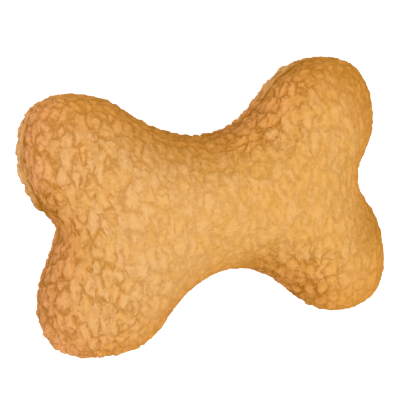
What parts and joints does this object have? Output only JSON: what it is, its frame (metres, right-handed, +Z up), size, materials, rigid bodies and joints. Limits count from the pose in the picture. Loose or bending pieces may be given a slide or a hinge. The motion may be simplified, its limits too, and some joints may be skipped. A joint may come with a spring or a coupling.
{
  "type": "squeaky dog toy",
  "caption": "Bone-shaped plush dog toy in curly fleece, sewn from a front and a back panel, stuffed with fibre, with a bulb squeaker in the shaft that sounds when the toy is bitten.",
  "frame": {"origin": "on the surface that the toy lies on, under the middle of the shaft", "axes": "+X along the bone's length, +Y across its width, +Z up from the back panel to the front panel"},
  "size_m": [0.201, 0.145, 0.066],
  "materials": {
    "fleece": "matte",
    "thread": "matte",
    "wadding": "matte",
    "bulb": "satin",
    "whistle": "gloss",
    "reed": "gloss"
  },
  "bodies": {
    "toy": {"back_panel": "fleece", "needle_thread": "thread", "bobbin_thread": "thread", "closing_thread": "thread", "fill_knob_left_near": "wadding", "fill_knob_left_far": "wadding", "fill_knob_right_near": "wadding", "fill_knob_right_far": "wadding", "fill_shaft_left": "wadding", "fill_shaft_right": "wadding", "fill_under_squeaker": "wadding", "squeaker_bulb": "bulb", "whistle_body": "whistle", "reed_seat": "whistle", "reed_clamp": "whistle"},
    "press_side": {"front_panel": "fleece", "fill_over_squeaker": "wadding"},
    "reed_tongue": {"reed": "reed"}
  },
  "joints": [
    {"name": "squeeze", "type": "slide", "parent": "toy", "child": "press_side", "axis": [0, 0, -1], "range_m": [0, 0.014], "stiffness_N_per_m": 900, "deforming": ["front_panel", "squeaker_bulb"]},
    {"name": "reed_flutter", "type": "hinge", "parent": "toy", "child": "reed_tongue", "pos_m": [0, 0, 0.0221], "axis": [1, 0, 0], "range_deg": [-2.5, 5], "stiffness_Nm_per_rad": 0.000001}
  ]
}
